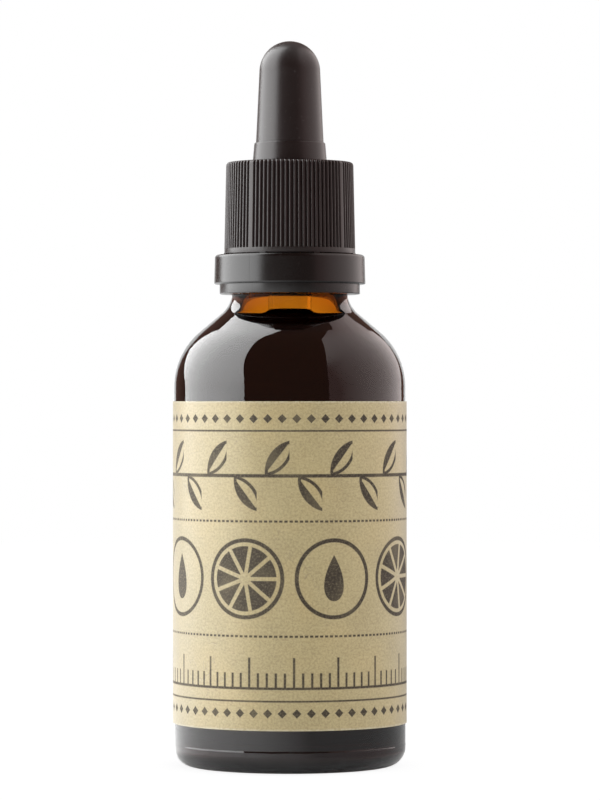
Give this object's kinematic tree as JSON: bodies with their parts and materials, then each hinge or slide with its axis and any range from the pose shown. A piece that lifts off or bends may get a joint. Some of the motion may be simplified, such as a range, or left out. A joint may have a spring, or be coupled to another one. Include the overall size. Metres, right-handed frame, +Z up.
{
  "type": "dropper bottle",
  "caption": "Round amber glass dropper bottle with a wrap-around paper label, ribbed screw cap over a tamper ring, rubber teat and glass pipette, filled with dark liquid.",
  "frame": {"origin": "centre of the base, on the surface the bottle stands on", "axes": "+Z up the bottle's axis, -Y towards the front of the label, label seam at +Y"},
  "size_m": [0.0374, 0.0373, 0.1158],
  "materials": {
    "amber_glass": "gloss",
    "kraft_paper": "matte",
    "bitters": "gloss",
    "black_plastic": "satin",
    "black_rubber": "matte",
    "clear_glass": "gloss"
  },
  "bodies": {
    "bottle": {"glass_bottle": "amber_glass", "paper_label": "kraft_paper", "bitters_liquid": "bitters"},
    "ring": {"tamper_ring": "black_plastic"},
    "dropper": {"rubber_teat": "black_rubber", "glass_pipette": "clear_glass"},
    "cap": {"screw_cap": "black_plastic"},
    "dose": {"pipette_dose": "bitters"}
  },
  "joints": [
    {"name": "ring_spin", "type": "hinge", "parent": "bottle", "child": "ring", "pos_m": [0, 0, 0.0787], "axis": [0, 0, 1], "continuous": true},
    {"name": "dropper_lift", "type": "slide", "parent": "bottle", "child": "dropper", "axis": [0, 0, 1], "range_m": [0, 0.095]},
    {"name": "cap_turn", "type": "hinge", "parent": "dropper", "child": "cap", "pos_m": [0, 0, 0.089], "axis": [0, 0, 1], "range_deg": [0, 540]},
    {"name": "teat_squeeze", "type": "slide", "parent": "dropper", "child": "dose", "axis": [0, 0, -1], "range_m": [0, 0.03], "stiffness_N_per_m": 200, "deforming": ["pipette_dose"]}
  ]
}
